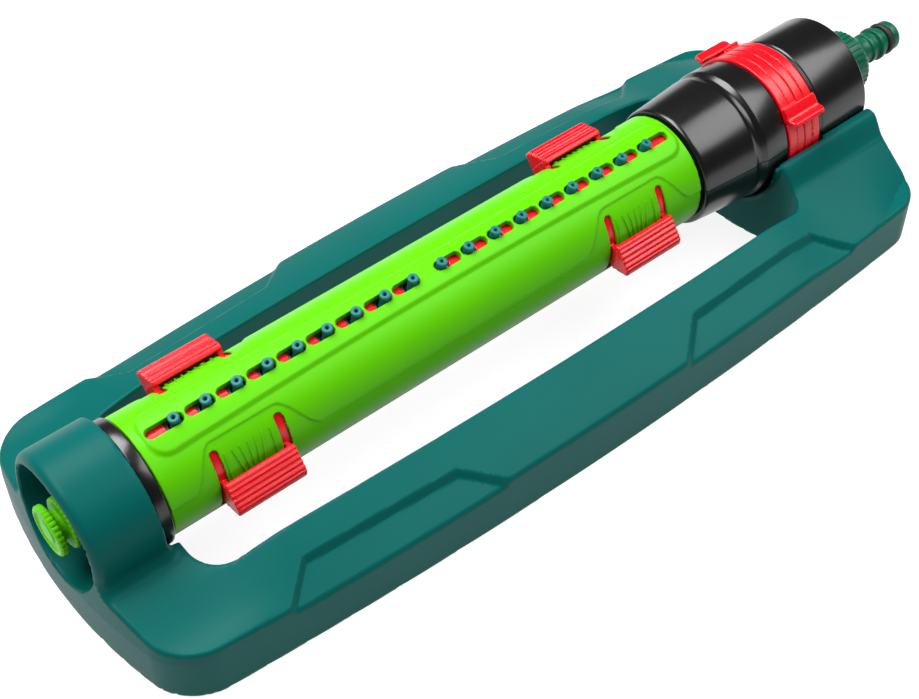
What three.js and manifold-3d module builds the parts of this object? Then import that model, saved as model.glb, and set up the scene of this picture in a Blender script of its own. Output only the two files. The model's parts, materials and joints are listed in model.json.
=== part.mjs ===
// Oscillating lawn sprinkler: a spray arm with a row of jets rocks between a hooded end and a drive
// housing, on a hollow moulded base. Millimetres, +Z up, +X along the arm towards the hose connector,
// origin on the ground under the middle of the bounding box.
import * as THREE from "three";
import { mergeVertices } from "three/addons/utils/BufferGeometryUtils.js";
import Module from "manifold-3d";

const wasm = await Module();
wasm.setup();

// ---- Driving dimensions. Stations along the arm are measured from the left end of the green cover.
const AXIS_HEIGHT = 47.5; // spray arm's axis above the ground
const BASE_LEFT = -40;
const BASE_RIGHT = 391;
const NIPPLE_END = 442;
const MIDDLE = (BASE_LEFT + NIPPLE_END) / 2;
const ARM_ROLL = 11; // degrees that the stored arm leans towards -Y
const COVER_RADIUS = 27;
const COVER_THICKNESS = 1.3;
const ARM_LENGTH = 284;
const TUBE_RADIUS = 23.4;
const TUBE_WALL = 2;
const SLIDER_RADIUS = 25.2; // outside of the curved plate under the cover
const SLIDER_THICKNESS = 1.1;
const JET_COUNT = 18;
const JET_PITCH = 14.42;
const FIRST_JET = 19.8;
const JET_RADIUS = 2.2;
const JET_PIVOT = 22.4; // radius at which a jet's ball foot sits
const JET_TIP = 30.6;
const SLOT_WIDTH = 5;
const SLOT_LENGTH = 13.2;
const END_SLOT_LENGTH = 17;
const HOUSING_START = 358;
const HOUSING_END = 389.4;
const HOUSING_RADIUS = 31;
const RING_START = 335.6;
const RING_WIDTH = 9.6;
const RING_RADIUS = 32.5;
const HOOD_RADIUS = 31.9;
const HOOD_BORE = 27.4;
const BASE_WALL = 3;
const TOOTH = 1.6; // depth of a gear tooth
const GAP = 0.35; // running clearance between faceted pieces
const FACET = 9; // degrees per facet on large round pieces

const RAD = Math.PI / 180;

// ---- Materials
const plastic = (color, roughness) => new THREE.MeshStandardMaterial({ color, roughness, metalness: 0 });
const baseGreen = plastic(0x0f5f5c, 0.45);
const limeGreen = plastic(0x5cd200, 0.4);
const signalRed = plastic(0xe0142a, 0.3);
const glossBlack = plastic(0x1b1b1d, 0.2);
const tubeGrey = plastic(0x8d8783, 0.5);
const jetTeal = plastic(0x1f8f8c, 0.6);
const connectorGreen = plastic(0x0b6b52, 0.4);
const gearWhite = plastic(0xe6e2d6, 0.5);
const sealRubber = plastic(0x111111, 0.8);
const steel = new THREE.MeshStandardMaterial({ color: 0xb9bcc0, roughness: 0.3, metalness: 1 });

// ---- Small tools
// Makes a closed geometry a solid, with its faces turned to point out.
function solid(geometry) {
  const bare = geometry.index ? geometry.toNonIndexed() : geometry.clone();
  bare.deleteAttribute("normal");
  bare.deleteAttribute("uv");
  const merged = mergeVertices(bare, 1e-4);
  const make = (triVerts) =>
    new wasm.Manifold(
      new wasm.Mesh({ numProp: 3, vertProperties: merged.attributes.position.array, triVerts }),
    );
  const triVerts = new Uint32Array(merged.index.array);
  const made = make(triVerts);
  return made.volume() > 0 ? made : make(triVerts.reverse());
}

function join(...solids) {
  return solids.reduce((sum, next) => sum.add(next));
}

function cut(body, ...tools) {
  return tools.reduce((rest, tool) => rest.subtract(tool), body);
}

function toGeometry(manifold) {
  const mesh = manifold.getMesh();
  return new THREE.BufferGeometry()
    .setAttribute("position", new THREE.BufferAttribute(new Float32Array(mesh.vertProperties), 3))
    .setIndex(new THREE.BufferAttribute(new Uint32Array(mesh.triVerts), 1));
}

// A shape drawn in (y, z) and pushed along +X.
function alongX(shape, start, length, curveSegments = 12) {
  const geometry = new THREE.ExtrudeGeometry(shape, { depth: length, bevelEnabled: false, curveSegments });
  const turn = new THREE.Matrix4().makeBasis(
    new THREE.Vector3(0, 1, 0),
    new THREE.Vector3(0, 0, 1),
    new THREE.Vector3(1, 0, 0),
  );
  return solid(geometry.applyMatrix4(turn.setPosition(start, 0, 0)));
}

// A profile of [x, radius] points turned about the X axis. It runs towards +X on its outer side.
function turned(profile, steps = 360 / FACET) {
  const points = [...profile, profile[0]].map(([x, r]) => new THREE.Vector2(r, x));
  return solid(new THREE.LatheGeometry(points, steps).rotateZ(-Math.PI / 2));
}

function ring(start, end, inner, outer, steps) {
  return turned([[start, inner], [start, outer], [end, outer], [end, inner]], steps);
}

function rod(start, end, radius, steps) {
  return turned([[start, 0], [start, radius], [end, radius], [end, 0]], steps);
}

// Part of a ring, between two angles from the top towards +Y.
function sector(start, end, inner, outer, from, to, facet = FACET) {
  const count = Math.max(2, Math.ceil((to - from) / facet));
  const angles = Array.from({ length: count + 1 }, (_, i) => (from + ((to - from) * i) / count) * RAD);
  const at = (r) => (a) => new THREE.Vector2(r * Math.sin(a), r * Math.cos(a));
  const outline = [...angles.map(at(outer)), ...angles.map(at(inner)).reverse()];
  return alongX(new THREE.Shape(outline.reverse()), start, end - start);
}

// A shape of [degrees from the top, radius] corners, on the far side (+1) or the near side (-1).
function polarShape(corners, sign) {
  const points = corners.map(([degrees, r]) => {
    const a = sign * degrees * RAD;
    return new THREE.Vector2(r * Math.sin(a), r * Math.cos(a));
  });
  return new THREE.Shape(sign > 0 ? points.reverse() : points);
}

function box(x, y, z, centreX, centreY, centreZ) {
  return solid(new THREE.BoxGeometry(x, y, z).translate(centreX, centreY, centreZ));
}

// An upright slot with round ends, from x0 to x1 on the centre line.
function slot(x0, x1, width, bottom, top) {
  const r = width / 2;
  const shape = new THREE.Shape();
  shape.moveTo(x0 + r, -r);
  shape.lineTo(x1 - r, -r);
  shape.absarc(x1 - r, 0, r, -Math.PI / 2, Math.PI / 2, false);
  shape.lineTo(x0 + r, r);
  shape.absarc(x0 + r, 0, r, Math.PI / 2, (3 * Math.PI) / 2, false);
  const options = { depth: top - bottom, bevelEnabled: false, curveSegments: 3 };
  return solid(new THREE.ExtrudeGeometry(shape, options).translate(0, 0, bottom));
}

// A spur gear about X with a tooth towards +Y, turned on by a part of a tooth. A spread widens its teeth.
function gear(start, end, teeth, pitchRadius, depth, shift = 0, spread = 0) {
  const outline = [];
  const root = 0.25 + spread;
  const crest = 0.09 + spread;
  for (let i = 0; i < teeth; i++) {
    const corners = [[-root, -1], [-crest, 1], [crest, 1], [root, -1]];
    for (const [along, side] of corners) {
      const a = ((i + along + shift) / teeth) * 2 * Math.PI;
      const r = pitchRadius + (side * depth) / 2;
      outline.push(new THREE.Vector2(r * Math.cos(a), r * Math.sin(a)));
    }
  }
  return alongX(new THREE.Shape(outline), start, end - start);
}

const smooth = (low, high, v) => THREE.MathUtils.smoothstep(v, low, high);
const mix = THREE.MathUtils.lerp;

const sprinkler = new THREE.Group();
const axis = new THREE.Group();
axis.position.set(-MIDDLE, 0, AXIS_HEIGHT);
sprinkler.add(axis);
const arm = new THREE.Group();
arm.rotation.x = ARM_ROLL * RAD;
axis.add(arm);

function piece(name, manifold, material, parent) {
  const mesh = new THREE.Mesh(toGeometry(manifold), material);
  mesh.name = name;
  parent.add(mesh);
  return mesh;
}

// ---- Base frame: one hollow moulding round a window, with a hood at the left and a cradle at the right
const WINDOW_LEFT = 0.5;
const WINDOW_RIGHT = 322;
const OUTER_HALF = 82.4;
const OUTER_BULGE = 0.000204;
const WINDOW_HALF = 53.2;
const WINDOW_BULGE = 0.00013;
const SIDE_STEPS = 13;
const END_STEPS = 6;
const CORNER_STEPS = 4;
const ACROSS_STEPS = 6;

const outerHalf = (x) => OUTER_HALF - OUTER_BULGE * (x - 189) ** 2;
const windowHalf = (x) => WINDOW_HALF - WINDOW_BULGE * (x - 216) ** 2;
const outerLeft = (y) => BASE_LEFT + 0.002 * y * y;
const outerRight = (y) => BASE_RIGHT - 0.0006 * y * y;
const windowLeft = () => WINDOW_LEFT;
const windowRight = (y) => WINDOW_RIGHT + 0.004 * y * y;

// Points round a barrel-sided rectangle with round corners, anticlockwise from the near left corner.
function outline(left, right, half, radius) {
  const x0 = left(half(0));
  const x1 = right(half(WINDOW_RIGHT));
  const side = (sign, from, to) =>
    Array.from({ length: SIDE_STEPS + 1 }, (_, i) => {
      const x = mix(from, to, i / SIDE_STEPS);
      return new THREE.Vector2(x, sign * half(x));
    });
  const end = (edge, from, to) =>
    Array.from({ length: END_STEPS + 1 }, (_, i) => {
      const y = mix(from, to, i / END_STEPS);
      return new THREE.Vector2(edge(y), y);
    });
  const corner = (a, b, square) =>
    new THREE.QuadraticBezierCurve(a, square, b).getPoints(CORNER_STEPS).slice(1, -1);
  const nearY = half(x1) - radius;
  const farY = half(x0) - radius;
  const near = side(-1, x0 + radius, x1 - radius);
  const rightEnd = end(right, -nearY, nearY);
  const far = side(1, x1 - radius, x0 + radius);
  const leftEnd = end(left, farY, -farY);
  const square = (x, y) => new THREE.Vector2(x, y);
  return [
    ...near,
    ...corner(near.at(-1), rightEnd[0], square(x1, -half(x1))),
    ...rightEnd,
    ...corner(rightEnd.at(-1), far[0], square(x1, half(x1))),
    ...far,
    ...corner(far.at(-1), leftEnd[0], square(x0, half(x0))),
    ...leftEnd,
    ...corner(leftEnd.at(-1), near[0], square(x0, -half(x0))),
  ];
}

// Height of the base's skin: rails that fall outwards, a fillet beside the hood, a cradle at the right.
function skinHeight(x, y, across) {
  const away = Math.abs(y);
  const front = 8 * (1 - smooth(20, 75, away)) * (1 - smooth(-10, 20, x));
  const rail = mix(37.6, 25.8 + front, across);
  const fillet = 10 * (1 - smooth(30, 44, away)) * (1 - smooth(-8, 14, x));
  const cradle = (1 - smooth(33, 50, away)) * smooth(292, 328, x);
  return mix(rail + fillet, AXIS_HEIGHT + 0.6, cradle);
}

function baseShell() {
  const outer = outline(outerLeft, outerRight, outerHalf, 30);
  const inner = outline(windowLeft, windowRight, windowHalf, 20);
  const sections = outer.map((o, i) => {
    const w = inner[i];
    const span = o.distanceTo(w);
    const at = (t) => new THREE.Vector2().lerpVectors(w, o, t);
    const inset = BASE_WALL / span;
    const top = Array.from({ length: ACROSS_STEPS + 1 }, (_, k) => {
      const t = k / ACROSS_STEPS;
      const p = at(t);
      return [p.x, p.y, skinHeight(p.x, p.y, t)];
    });
    const under = Array.from({ length: ACROSS_STEPS + 1 }, (_, k) => {
      const t = mix(1 - inset, inset, k / ACROSS_STEPS);
      const p = at(t);
      return [p.x, p.y, skinHeight(p.x, p.y, t) - BASE_WALL];
    });
    const ground = (t) => [at(t).x, at(t).y, 0];
    return [ground(0), ...top, ground(1), ground(1 - inset), ...under, ground(inset)];
  });
  const count = sections[0].length;
  const triangles = [];
  sections.forEach((section, i) => {
    const next = sections[(i + 1) % sections.length];
    for (let k = 0; k < count; k++) {
      const l = (k + 1) % count;
      triangles.push(...section[k], ...next[k], ...next[l], ...section[k], ...next[l], ...section[l]);
    }
  });
  const geometry = new THREE.BufferGeometry();
  geometry.setAttribute("position", new THREE.BufferAttribute(new Float32Array(triangles), 3));
  return solid(geometry.translate(0, 0, -AXIS_HEIGHT));
}

// Screws come up through the cradle into the thick end of the drive housing.
const SCREW_STATION = 384.6;
const SCREW_ANGLES = [150, -150];
const HOOD_BACK = -11.5;

function radially(manifold, station, angle) {
  return manifold.rotate([0, 90, 0]).rotate([angle - 180, 0, 0]).translate([station, 0, 0]);
}

function baseFrame() {
  const hood = rod(BASE_LEFT + 1.4, -6, HOOD_RADIUS);
  const cradle = sector(WINDOW_RIGHT + 2, BASE_RIGHT - 2, HOUSING_RADIUS, HOUSING_RADIUS + 3.4, 92, 268);
  const clearances = [
    rod(BASE_LEFT - 5, HOOD_BACK, HOOD_BORE),
    rod(-14, 0, 14.6, 30),
    rod(-6.1, 4, 30),
    rod(WINDOW_RIGHT - 30, HOUSING_START - 0.4, RING_RADIUS + 1, 60),
    rod(HOUSING_START - 1, BASE_RIGHT + 3, HOUSING_RADIUS + GAP),
  ];
  const screwHoles = SCREW_ANGLES.map((a) => radially(rod(28, 40, 1.9, 12), SCREW_STATION, a));
  return cut(join(baseShell(), hood, cradle), ...clearances, ...screwHoles);
}
piece("base_frame", baseFrame(), baseGreen, axis);

// ---- Left bearing: a bush pressed in the hood's back wall carries the arm's journal
piece("bearing_bush", ring(-13, -6.6, 11.9, 14.2, 30), gearWhite, axis);

const journal = turned([
  [-16, 5.2], [-16, 11.5], [-5.6, 11.5], [-5.6, 28.4], [-0.4, 28.4], [-0.4, 20.8], [14, 20.8], [14, 18.6],
  [0, 18.6], [0, 5.2],
]);
piece("arm_journal", journal, glossBlack, arm);

// ---- End plug: a two-flanged thumb knob that closes the journal's cleaning hole
const plug = turned(
  [
    [-40, 0], [-40, 10.2], [-39.2, 11], [-37.2, 11], [-36.6, 10.4], [-36.6, 6.4], [-33.6, 6.4],
    [-33.6, 10.4], [-33, 11], [-31.4, 11], [-30.8, 10.2], [-30.8, 6.6], [-16.4, 6.6], [-16.4, 4.8],
    [-4, 4.8], [-4, 0],
  ],
  30,
);
piece("end_plug", plug, limeGreen, arm);

// ---- Arm tube with a hole for each jet
const jetStations = Array.from({ length: JET_COUNT }, (_, i) => FIRST_JET + JET_PITCH * i);
const side = (i) => (i < JET_COUNT / 2 ? -1 : 1); // -1 leans to the left end, +1 to the right end

const tubeBody = ring(0.6, ARM_LENGTH + 14, TUBE_RADIUS - TUBE_WALL, TUBE_RADIUS);
const jetHoles = jetStations.map((x) => slot(x - 3.8, x + 3.8, 7.6, 15, 28));
piece("arm_tube", cut(tubeBody, ...jetHoles), tubeGrey, arm);

// ---- Lower skin of the arm: the grey half shell that closes the cover underneath
const LOWER_EDGE = 105; // angle from the top where the green cover ends
const shellLower = sector(0.6, ARM_LENGTH - 0.6, 24.6, 26.5, LOWER_EDGE, 360 - LOWER_EDGE);
piece("arm_lower_shell", shellLower, tubeGrey, arm);

// ---- Width sliders: a curved plate under the cover with a thumb tab at each side
const SLIDER_OPEN = 24; // degrees that a slider turns to widen the spray
const SLIDER_CLOSE = 6; // and to narrow it
const TAB_HALF = 16.4;
const sliders = [
  { name: "width_slider_left", from: 4.6, to: 138, tabAt: 39.8 },
  { name: "width_slider_right", from: 147, to: 279.6, tabAt: 245.4 },
];
const TAB_TURN = 78.5; // tabs sit this far either side of the slider's own middle
const SLIDER_OFFSET = -8; // the stored slider is turned this far towards the near side
const ARM_HALF_GAP = 15.1; // half the distance between the two arms of a tab
const ARM_WIDTH = 2.8;

function tab(sign, centre) {
  // Drawn as [angle, radius] corners, from the upper root to the tip and back under it.
  const corners = [[-12, 28.6], [-14, 29.6], [2, 37], [7, 37], [14, 28.6]];
  const turnedCorners = corners.map(([a, r]) => [TAB_TURN + a - 4, r]);
  const wedge = alongX(polarShape(turnedCorners, sign), centre - TAB_HALF, 2 * TAB_HALF);
  const arms = [-1, 1].map((s) => {
    const x = centre + s * ARM_HALF_GAP;
    const [a, b] = sign > 0 ? [TAB_TURN - 14, TAB_TURN + 6] : [-TAB_TURN - 6, -TAB_TURN + 14];
    return sector(x - ARM_WIDTH / 2, x + ARM_WIDTH / 2, SLIDER_RADIUS - 0.6, 29.4, a, b);
  });
  return join(wedge, ...arms);
}

sliders.forEach(({ name, from, to, tabAt }, half) => {
  const inner = SLIDER_RADIUS - SLIDER_THICKNESS;
  const plate = sector(from, to, inner, SLIDER_RADIUS, -33, 31);
  const saddle = sector(tabAt - 18, tabAt + 18, inner, SLIDER_RADIUS, -TAB_TURN - 8, TAB_TURN + 8);
  const own = jetStations.filter((_, i) => (side(i) > 0 ? 1 : 0) === half);
  const lean = half ? 1 : -1;
  const windows = own.map((x) => {
    const [a, b] = lean > 0 ? [x - 2.9, x + 4.9] : [x - 4.9, x + 2.9];
    const middle = -SLIDER_OFFSET;
    return sector(a, b, inner - 1, SLIDER_RADIUS + 1, middle - SLIDER_OPEN - 7, middle + SLIDER_CLOSE + 7);
  });
  const body = join(cut(join(plate, saddle), ...windows), tab(-1, tabAt), tab(1, tabAt));
  const mesh = piece(name, body, signalRed, arm);
  mesh.rotation.x = -SLIDER_OFFSET * RAD;
});

// ---- Cover with the row of slots and the tab slots
const coverInner = COVER_RADIUS - COVER_THICKNESS;
const coverBody = sector(0.4, ARM_LENGTH - 0.4, coverInner, COVER_RADIUS, -LOWER_EDGE + 1, LOWER_EDGE - 1);
const plateau = sector(4, ARM_LENGTH - 4, COVER_RADIUS - 1, COVER_RADIUS + 0.8, -24, 24, 8);
const SLOT_BEHIND_JET = 2.8;
const rowSlots = jetStations.map((x, i) => {
  const outward = side(i);
  const length = i === 0 || i === JET_COUNT - 1 ? END_SLOT_LENGTH : SLOT_LENGTH;
  const centreEnd = x - outward * SLOT_BEHIND_JET;
  const outerEnd = centreEnd + outward * length;
  return slot(Math.min(centreEnd, outerEnd), Math.max(centreEnd, outerEnd), SLOT_WIDTH, 20, 32);
});
const TAB_SLOT_TOP = 38;
const TAB_SLOT_FOOT = 101.8;
const tabSlots = sliders.flatMap(({ tabAt }) =>
  [-1, 1].flatMap((s) => {
    const x = tabAt + s * ARM_HALF_GAP;
    const half = ARM_WIDTH / 2 + 0.5;
    return [
      sector(x - half, x + half, 24, 30, TAB_SLOT_TOP, TAB_SLOT_FOOT),
      sector(x - half, x + half, 24, 30, -TAB_SLOT_FOOT, -TAB_SLOT_TOP),
    ];
  }),
);
piece("arm_cover", cut(join(coverBody, plateau), ...rowSlots, ...tabSlots), limeGreen, arm);

// ---- Jets: soft nozzles with a ball foot, leaning outwards from the middle of their half
const REST_LEAN = 3; // degrees, innermost jet
const LEAN_STEP = 1.1;
const ballRadius = 3;
const footProfile = [-60, -30, 0, 30].map((a) => [
  ballRadius * Math.sin(a * RAD),
  ballRadius * Math.cos(a * RAD),
]);
const neck = [[JET_TIP - JET_PIVOT - 0.6, JET_RADIUS], [JET_TIP - JET_PIVOT, JET_RADIUS - 0.6]];
const bore = [[JET_TIP - JET_PIVOT, 0.6], [-2.6, 0.6]];
const jetSolid = turned([...footProfile, [2.1, JET_RADIUS], ...neck, ...bore], 8).rotate([0, -90, 0]);
jetStations.forEach((x, i) => {
  const fromCentre = Math.abs(i - (JET_COUNT - 1) / 2) - 0.5;
  const mesh = piece("nozzle_" + String(i + 1).padStart(2, "0"), jetSolid, jetTeal, arm);
  mesh.position.set(x, 0, JET_PIVOT);
  mesh.rotation.y = side(i) * (REST_LEAN + LEAN_STEP * fromCentre) * RAD;
});

// ---- Drive collar: two glossy half shells that clamp the arm's right end to the output gear
const collarProfile = [
  [285, 24], [285, 28.7], [288, 29.2], [315.8, 31.6], [318.6, 30.6], [321.4, 32.2], [334.9, 31.7],
  [334.9, 30], [300, 27], [300, 24],
];
const collar = turned(collarProfile);
const PARTING_LEAN = -21; // degrees that the parting plane of the two halves is turned
const upperSide = box(80, 80, 40, 310, 0, 20 + GAP / 2).rotate([PARTING_LEAN, 0, 0]);
const lowerSide = box(80, 80, 40, 310, 0, -20 - GAP / 2).rotate([PARTING_LEAN, 0, 0]);
piece("collar_upper_half", collar.intersect(upperSide), glossBlack, arm);
piece("collar_lower_half", collar.intersect(lowerSide), glossBlack, arm);

// ---- Output gear: closes the arm tube and carries the internal teeth that the drive turns
const RING_TEETH = 24;
const RING_PITCH = 18;
const outputCup = turned([
  [298.4, 8], [298.4, 23.2], [318, 23.2], [318, 27.2], [331, 27.2], [331, 21.4], [321, 21.4], [321, 8],
]);
// The spaces are wider and deeper than the pinion's teeth, so the pair runs with backlash.
const toothedRing = cut(
  ring(321 - 1, 331, RING_PITCH - 2, 23),
  gear(321, 335, RING_TEETH, RING_PITCH, TOOTH + 0.6, -(ARM_ROLL * RING_TEETH) / 360, 0.1),
);
piece("output_gear", join(outputCup, toothedRing), gearWhite, arm);

// ---- Drive housing: the sleeve that carries the range rings and the big can in the cradle
const SLEEVE_RADIUS = 30;
const housingProfile = [
  [335.3, 26.4], [335.3, SLEEVE_RADIUS], [HOUSING_START - 0.4, SLEEVE_RADIUS],
  [HOUSING_START - 0.4, HOUSING_RADIUS - 0.8], [HOUSING_START + 0.4, HOUSING_RADIUS],
  [HOUSING_END - 1, HOUSING_RADIUS], [HOUSING_END, HOUSING_RADIUS - 1], [HOUSING_END, 13],
  [402, 13], [402, 7], [378, 7], [378, 26.4],
];
const housingScrewHoles = SCREW_ANGLES.map((a) => radially(rod(24, 40, 1.4, 12), SCREW_STATION, a));
piece("drive_housing", cut(turned(housingProfile), ...housingScrewHoles), glossBlack, axis);

SCREW_ANGLES.forEach((a, i) => {
  const screw = turned([[25, 0], [25, 1.1], [35, 1.1], [35, 3], [37, 2.4], [37, 0]], 12);
  piece("housing_screw_" + (i + 1), radially(screw, SCREW_STATION, a), steel, axis);
});

// ---- Range rings: two red bands side by side, each with a finger tab that reaches over both
const RING_SPAN = 2 * RING_WIDTH + 0.4;

function rangeRing(start, tabSign) {
  const band = ring(start, start + RING_WIDTH, SLEEVE_RADIUS + GAP, RING_RADIUS);
  const root = polarShape([[45, 31.2], [46, 34], [58, 34], [59, 31.2]], tabSign);
  const finger = polarShape([[45, 33.2], [46, 34.4], [54, 34.8], [59, 38], [62, 37.6], [59, 33.3]], tabSign);
  return join(band, alongX(root, start, RING_WIDTH), alongX(finger, RING_START, RING_SPAN));
}
piece("range_ring_near", rangeRing(RING_START, -1), signalRed, axis);
piece("range_ring_far", rangeRing(RING_START + RING_WIDTH + 0.4, 1), signalRed, axis);

// ---- Drive train inside the housing
const PINION_TEETH = 8;
const PINION_PITCH = (RING_PITCH * PINION_TEETH) / RING_TEETH;
const PINION_Y = RING_PITCH - PINION_PITCH;
const LEVER_Y = -16;
const gearPlate = cut(
  ring(336, 338.4, 4, 26),
  rod(335, 340, 1.5, 12).translate([0, PINION_Y, 0]),
  rod(335, 340, 2, 12).translate([0, LEVER_Y, 0]),
);
piece("gearbox_plate", gearPlate, gearWhite, axis);

const outputPinion = join(
  gear(322, 330, PINION_TEETH, PINION_PITCH - 0.3, TOOTH, 0, -0.045),
  rod(326, 349, 1.1, 12),
  ring(341, 344, 0.5, 9.5, 24),
);
piece("output_pinion", outputPinion.translate([0, PINION_Y, 0]), gearWhite, axis);

const TURBINE_TEETH = 8;
const TURBINE_PITCH = 3.2;
const REDUCTION_TEETH = 24;
const REDUCTION_PITCH = 9.6;
const REDUCTION_Z = TURBINE_PITCH + REDUCTION_PITCH + 0.15;
const FINE_TOOTH = 1.1;
const BLADES = 10;
const turbineBlades = Array.from({ length: BLADES }, (_, i) =>
  box(7, 1.2, 10, 369.5, 0, 16.5).rotate([(i * 360) / BLADES, 0, 0]),
);
const turbineWheel = join(
  rod(366, 373, 12, 24),
  gear(357, 366.2, TURBINE_TEETH, TURBINE_PITCH, FINE_TOOTH),
  ...turbineBlades,
);
piece("turbine_wheel", cut(turbineWheel, rod(350, 380, 1.5, 12)), gearWhite, axis);
piece("turbine_pin", rod(350, 377.4, 1.1, 12), steel, axis);

const reductionGear = gear(358, 362, REDUCTION_TEETH, REDUCTION_PITCH, FINE_TOOTH, 0.5);
piece(
  "reduction_gear",
  cut(reductionGear, rod(350, 370, 1.5, 12)).translate([0, 0, REDUCTION_Z]),
  gearWhite,
  axis,
);
piece("reduction_pin", rod(352, 365, 1.1, 12).translate([0, 0, REDUCTION_Z]), steel, axis);

// ---- Trip lever that shifts the drive over when the arm reaches a range ring
const lever = join(
  rod(332.4, 340.6, 1.6, 12),
  ring(339.2, 340.6, 1, 4.4, 16),
  box(1.4, 3, 13, 339.9, 0, 9),
  box(1.4, 3, 10, 339.9, 0, -8),
  box(1.6, 3, 8, 333.2, 0, 3),
);
piece("trip_lever", lever.translate([0, LEVER_Y, 0]), gearWhite, axis);

// ---- Water inlet: sieve, washer and the hose connector
const sieve = cut(
  turned(
    [
      [388, 0], [388, 5.4], [400, 6.2], [403.2, 6.2], [403.2, 9.4], [404.2, 9.4], [404.2, 4.8],
      [389, 4.2], [389, 0],
    ],
    24,
  ),
  ...[391, 394, 397].flatMap((x) => [0, 60, 120].map((a) => box(1.6, 20, 2, x, 0, 0).rotate([a, 0, 0]))),
);
piece("inlet_filter", sieve, gearWhite, axis);
piece("inlet_washer", ring(404.5, 407, 6.2, 12.6, 24), sealRubber, axis);

const connectorProfile = [
  [393, 13.5], [393, 15.2], [410.4, 15.2], [416, 9.2], [416.6, 6.4], [422, 6.4], [422.4, 7.4], [424.6, 7.4],
  [425, 6.4], [427.6, 6.4], [428, 8.3], [430.2, 8.3], [430.8, 6.8], [433.6, 6.8], [433.6, 6], [437.2, 6],
  [437.2, 7.6], [440.4, 7.6], [NIPPLE_END, 6.6], [NIPPLE_END, 4.5], [412, 4.5], [407.4, 6], [407.4, 13.5],
];
const RIBS = 20;
const ribs = Array.from({ length: RIBS }, (_, i) =>
  box(16, 1.2, 1.2, 402, 0, 15.3).rotate([(i * 360) / RIBS, 0, 0]),
);
piece("hose_connector", join(turned(connectorProfile, 30), ...ribs), connectorGreen, axis);

const oRingProfile = [[434, 6.4], [434, 7.5], [434.8, 8.2], [436, 8.2], [436.8, 7.5], [436.8, 6.4]];
piece("connector_o_ring", turned(oRingProfile, 24), sealRubber, axis);

export default sprinkler;
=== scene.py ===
# %% [markdown]
# An oscillating lawn sprinkler. A hollow green base carries a spray arm that rocks about one long
# axis. Nearly every piece is injection moulded plastic, so the lesson has two themes: soft moulded
# forms with a small radius on every edge, and plastics that differ in gloss more than in colour.
# The frame with the working model comes first. Positions are read from it, so the pieces fit.

# %% Load the frame
import json
import math
import bmesh
import bpy
import numpy as np
from mathutils import Matrix, Vector


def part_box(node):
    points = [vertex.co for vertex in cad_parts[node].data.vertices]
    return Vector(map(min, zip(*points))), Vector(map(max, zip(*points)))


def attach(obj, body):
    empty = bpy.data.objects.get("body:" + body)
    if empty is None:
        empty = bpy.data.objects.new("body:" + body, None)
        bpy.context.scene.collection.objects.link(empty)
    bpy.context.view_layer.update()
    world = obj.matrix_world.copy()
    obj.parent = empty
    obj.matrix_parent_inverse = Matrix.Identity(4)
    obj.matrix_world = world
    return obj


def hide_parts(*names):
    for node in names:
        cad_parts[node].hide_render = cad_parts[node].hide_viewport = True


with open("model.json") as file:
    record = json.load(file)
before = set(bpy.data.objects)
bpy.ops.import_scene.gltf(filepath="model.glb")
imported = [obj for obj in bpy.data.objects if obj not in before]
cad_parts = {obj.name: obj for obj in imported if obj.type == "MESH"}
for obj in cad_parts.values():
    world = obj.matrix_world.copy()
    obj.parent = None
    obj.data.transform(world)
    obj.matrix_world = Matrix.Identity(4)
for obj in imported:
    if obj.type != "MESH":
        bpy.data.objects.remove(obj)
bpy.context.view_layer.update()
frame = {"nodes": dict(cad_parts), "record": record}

# %% [markdown]
# All long pieces share the arm's axis, so shapes are drawn in millimetres as a station along the
# axis, measured from the left end of the green cover, and as Y and Z from the axis. One function
# moves a drawing into the frame. The arm is stored leaning 11 degrees to the near side, so the arm's
# pieces are drawn upright and leaned over at the end. The thumb sliders lean 8 degrees more.

# %% Drawing frame
MM = 0.001
ORIGIN = Vector((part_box("arm_cover")[0].x - 0.4 * MM, 0.0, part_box("drive_housing")[0].z + 31 * MM))
ARM_LEAN = 11
SLIDER_LEAN = ARM_LEAN + 8
GROUND = -ORIGIN.z / MM


def seat(points, lean=0):
    a = math.radians(lean)
    x, y, z = np.asarray(points, float).T
    turned = np.stack([x, y * math.cos(a) - z * math.sin(a), y * math.sin(a) + z * math.cos(a)], 1)
    return turned


def make_object(name, points, faces, lean=0, normals=None):
    mesh = bpy.data.meshes.new(name)
    corners = (seat(points, lean) * MM + np.array(ORIGIN)).tolist()
    mesh.from_pydata(corners, [], faces.tolist() if isinstance(faces, np.ndarray) else faces)
    mesh.shade_smooth()
    if normals is not None:
        mesh.normals_split_custom_set_from_vertices(seat(normals, lean).tolist())
    obj = bpy.data.objects.new(name, mesh)
    bpy.context.scene.collection.objects.link(obj)
    print(name, len(mesh.polygons), "faces")
    return obj


print("axis height", round(ORIGIN.z / MM, 2), "mm")

# %% [markdown]
# A moulding with fillets, recesses and cut-outs is awkward to build from curves and booleans. It is
# simple as a field: a function that is negative inside the plastic and positive outside. Two fields
# meet in a rounded corner, or merge with a fillet, by one short formula. The skin is then found on a
# grid of cells: each cell that the surface crosses gets one point, pulled onto the surface along the
# field's slope, and neighbouring points are joined by a quad. The slope also gives exact normals.

# %% Field tools
def both(a, b, radius):
    """What two fields share, with a rounded edge."""
    corner = np.hypot(np.maximum(a + radius, 0), np.maximum(b + radius, 0))
    return np.minimum(-radius, np.maximum(a, b)) + corner


def either(a, b, radius):
    """Two fields merged, with a fillet."""
    return -both(-a, -b, radius)


def without(a, b, radius):
    """One field cut out of another, with a rounded edge."""
    return both(a, -b, radius)


def smooth(low, high, v):
    t = np.clip((v - low) / (high - low), 0, 1)
    return t * t * (3 - 2 * t)


def mix(a, b, t):
    return a + (b - a) * t


def between(v, low, high):
    return np.abs(v - (low + high) / 2) - (high - low) / 2


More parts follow.
